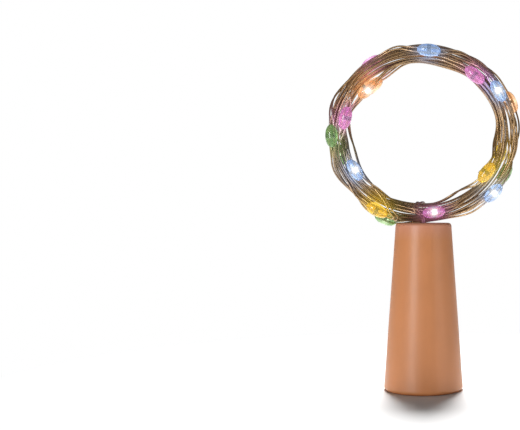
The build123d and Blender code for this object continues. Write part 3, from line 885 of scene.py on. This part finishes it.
DROP_PROFILE_SHARES = [
    (-1.0, 0.0),
    (-0.985, 0.3),
    (-0.9, 0.5),
    (-0.7, 0.75),
    (-0.4, 0.94),
    (0.0, 1.0),
    (0.4, 0.94),
    (0.7, 0.75),
    (0.9, 0.5),
    (0.985, 0.3),
    (1.0, 0.0),
]
DROP_SIDES = 16
DROP_SMOOTHNESS = 2
DROP_SPREAD = 0.05
DROP_LENGTH_SHARE = 0.98
DROP_LENGTH_SEED = 0.4
DROP_RADIUS_SHARE = 0.97
DROP_RADIUS_SEED = 1.9
MERGE_DISTANCE = 0.00001
# How far along a drop the lit chip's painted glow reaches, and how much it is pulled towards the front
PAINTED_GLOW_LENGTH_SHARE = 0.6
PAINTED_GLOW_PULL = 1.5

# Size and middle of each chip's dark bar and lit die, on lights that face out and on the others
OUTER_BAR = ((0.0009, 0.0023, 0.0005), (0, 0, -0.0009))
OUTER_DIE = ((0.0014, 0.001, 0.0004), (-0.0002, 0, 0.0003))
INNER_BAR = ((0.0011, 0.0025, 0.0005), (0, 0, 0.0011))
INNER_DIE = ((0.0007, 0.0007, 0.0003), (0, 0, -0.0002))
CHIP_EDGE = 0.00008


def light_frame(line, index):
    """A matrix at a light: X along the wire and Z out of the bundle."""
    way = line.ways[index]
    out = line.outs[index]
    matrix = Matrix((way, out.cross(way), out)).transposed().to_4x4()
    matrix.translation = line.points[index]
    return matrix


class LIGHTS_OT_build(bpy.types.Operator):
    """Mould the clear drops over the string, one piece for each colour"""

    bl_idname = "cork_light.drops"
    bl_label = "Light drops"

    def execute(self, context):
        values = settings("cork_lights")
        line = wire_line()
        pieces = []
        for kind in LIGHT_KINDS:
            bm = bmesh.new()
            for number, (index, own) in enumerate(zip(line.lights, LIGHT_ORDER)):
                if own == kind:
                    self.add_drop(bm, light_frame(line, index), number, values)
            bmesh.ops.recalc_face_normals(bm, faces=bm.faces)
            finish = clear_drop(f"{kind}_resin", getattr(values, kind), values.shine)
            piece = keep(f"{kind}_drops", bm, finish)
            smooth = piece.modifiers.new("round", "SUBSURF")
            smooth.levels = DROP_SMOOTHNESS
            smooth.render_levels = DROP_SMOOTHNESS
            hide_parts(f"light_drops_{kind}")
            pieces.append(piece)
        WIRE["drops"] = pieces
        return {"FINISHED"}

    def add_drop(self, bm, matrix, number, values):
        """One drop: a profile turned about the wire, each a little different."""
        one = bmesh.new()
        length = values.half_length * (DROP_LENGTH_SHARE + DROP_SPREAD * wave(number, DROP_LENGTH_SEED))
        radius = values.radius * (DROP_RADIUS_SHARE + DROP_SPREAD * wave(number, DROP_RADIUS_SEED))
        profile = [(along * length, 0, across * radius) for along, across in DROP_PROFILE_SHARES]
        chain = [one.verts.new(point) for point in profile]
        edges = [one.edges.new(pair) for pair in zip(chain, chain[1:])]
        bmesh.ops.spin(
            one,
            geom=chain + edges,
            cent=(0, 0, 0),
            axis=(1, 0, 0),
            angle=2 * math.pi,
            steps=DROP_SIDES,
            use_merge=True,
        )
        bmesh.ops.remove_doubles(one, verts=one.verts, dist=MERGE_DISTANCE)
        # The lit chip's painted glow, kept in the mesh: only on chips lit on the outer side, strongest on
        # the drop's outer side pulled towards the front, fading towards the drop's ends.
        heart = one.verts.layers.float.new("heart")
        facing = 1.0 if number in FACING_OUT else 0.0
        out = matrix.col[2].to_3d()
        pulled = (out + FRONT * (PAINTED_GLOW_PULL * max(out.dot(FRONT), 0))).normalized()
        toward = matrix.to_3x3().transposed() @ pulled
        for vert in one.verts:
            outward = max(vert.co.dot(toward) / radius, 0)
            vert[heart] = facing * outward**2 * fade(abs(vert.co.x), 0, PAINTED_GLOW_LENGTH_SHARE * length)
        one.transform(matrix)
        mesh = bpy.data.meshes.new("drop")
        one.to_mesh(mesh)
        one.free()
        bm.from_mesh(mesh)
        bpy.data.meshes.remove(mesh)


class CHIPS_OT_build(bpy.types.Operator):
    """Put a dark bridge and a lit die across the strands in each drop"""

    bl_idname = "cork_light.chips"
    bl_label = "Light chips"

    def execute(self, context):
        values = settings("cork_lights")
        line = wire_line()
        bars = bmesh.new()
        dies = bmesh.new()
        for number, index in enumerate(line.lights):
            matrix = light_frame(line, index)
            outer = number in FACING_OUT
            self.add_block(bars, matrix, *(OUTER_BAR if outer else INNER_BAR))
            self.add_block(dies, matrix, *(OUTER_DIE if outer else INNER_DIE))
        dark = dull_plastic("bridge", (0.025, 0.01, 0.01), roughness=0.45)
        bridge = keep("chip_bridges", bars, dark)
        die = keep("chip_dies", dies, lit_die("die", values.die_shine))
        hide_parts("light_chips")
        WIRE["chips"] = [bridge, die]
        return {"FINISHED"}

    def add_block(self, bm, matrix, size, middle):
        one = bmesh.new()
        bmesh.ops.create_cube(one, size=1)
        bmesh.ops.scale(one, vec=size, verts=one.verts)
        bmesh.ops.bevel(
            one, geom=one.edges, offset=CHIP_EDGE, segments=2, profile=0.5, affect="EDGES", material=-1
        )
        bmesh.ops.translate(one, vec=middle, verts=one.verts)
        one.transform(matrix)
        mesh = bpy.data.meshes.new("block")
        one.to_mesh(mesh)
        one.free()
        bm.from_mesh(mesh)
        bpy.data.meshes.remove(mesh)


class CORD_OT_declare(bpy.types.Operator):
    """Fetch the string's middle line and the drops and chips, and do nothing more with them"""

    bl_idname = "cork_light.cord"
    bl_label = "String facts"

    def execute(self, context):
        line = wire_line()
        WIRE["drops"] + WIRE["chips"]
        return {"FINISHED"}


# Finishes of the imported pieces


class CORK_OT_finish(bpy.types.Operator):
    """Give the cork-shaped body, the tray and the bush their plastics"""

    bl_idname = "cork_light.cork"
    bl_label = "Cork and tray"

    def execute(self, context):
        values = settings("cork_body")
        look = (values.plastic, values.roughness, values.rim)
        wear("cork_shell", moulded_plastic("tan_plastic", *look))
        wear("tray_frame", moulded_plastic("tray_plastic", *look))
        wear("hole_bush", dull_plastic("bush_rubber", (0.03, 0.025, 0.02), roughness=0.6))
        return {"FINISHED"}


class INSIDE_OT_finish(bpy.types.Operator):
    """Give the electrical pieces and the cells their finishes"""

    bl_idname = "cork_light.inside"
    bl_label = "Inside pieces"

    def execute(self, context):
        steel = metal("plated_steel", (0.62, 0.62, 0.63), roughness=0.22)
        brass = metal("spring_brass", (0.72, 0.5, 0.2), roughness=0.24)
        solder = metal("solder", (0.6, 0.6, 0.62), roughness=0.3, grain=1600)
        board = circuit_board("board_lacquer", (0.02, 0.16, 0.06))
        copper = metal("bare_copper", settings("cork_string").wire_colour, roughness=0.3)
        black = dull_plastic("black_plastic", (0.015, 0.015, 0.016), roughness=0.4)
        finishes = {
            "main_board": board,
            "switch_board": board,
            "board_screws": steel,
            "positive_spring": steel,
            "negative_spring": steel,
            "switch_frame": steel,
            "cell_cans": metal("cell_can", (0.7, 0.69, 0.67), roughness=0.18),
            "cell_caps": metal("cell_cap", (0.66, 0.66, 0.66), roughness=0.28),
            "cell_seals": dull_plastic("seal", (0.7, 0.7, 0.66), roughness=0.5),
            "cell_cores": dull_plastic("zinc_paste", (0.1, 0.1, 0.11), roughness=0.7),
            "resistor_body": black,
            "resistor_caps": solder,
            "board_solder": solder,
            "switch_solder": solder,
            "switch_pins": solder,
            "side_strip": brass,
            "tray_leaf": brass,
            "negative_strip": brass,
            "switch_wiper": brass,
            "lead_throat": copper,
            "inner_leads": copper,
            "switch_housing": black,
            "switch_knob": dull_plastic("knob_plastic", (0.02, 0.02, 0.021), roughness=0.35),
        }
        for node, finish in finishes.items():
            wear(node, finish)
        return {"FINISHED"}


class LIGHT_PT_panel(bpy.types.Panel):
    """Lists what builds the bottle light"""

    bl_idname = "LIGHT_PT_panel"
    bl_label = "Cork light"
    bl_space_type = "VIEW_3D"
    bl_region_type = "UI"
    bl_category = "Cork light"

    def draw(self, context):
        for operator in OPERATORS:
            self.layout.operator(operator.bl_idname)
        for name in GROUPS:
            group = settings(name)
            box = self.layout.box()
            for value in group.bl_rna.properties.keys():
                if value not in ("rna_type", "name"):
                    box.prop(group, value)


OPERATORS = [
    STAGE_OT_build,
    STRING_OT_build,
    LIGHTS_OT_build,
    CHIPS_OT_build,
    CORD_OT_declare,
    CORK_OT_finish,
    INSIDE_OT_finish,
]
GROUPS = {
    "cork_string": StringSettings,
    "cork_lights": LightSettings,
    "cork_body": CorkSettings,
    "cork_stage": StageSettings,
}


def register():
    for kind in [*GROUPS.values(), *OPERATORS, LIGHT_PT_panel]:
        bpy.utils.register_class(kind)
    for name, kind in GROUPS.items():
        setattr(bpy.types.Scene, name, PointerProperty(type=kind))


def unregister():
    for name in GROUPS:
        delattr(bpy.types.Scene, name)
    for kind in [LIGHT_PT_panel, *OPERATORS, *GROUPS.values()]:
        bpy.utils.unregister_class(kind)


def main():
    register()
    bpy.context.scene.view_settings.view_transform = "Standard"
    bpy.ops.cork_light.stage()
    bpy.ops.cork_light.string()
    bpy.ops.cork_light.drops()
    bpy.ops.cork_light.chips()
    bpy.ops.cork_light.cord()
    bpy.ops.cork_light.cork()
    bpy.ops.cork_light.inside()


if __name__ == "__main__":
    main()
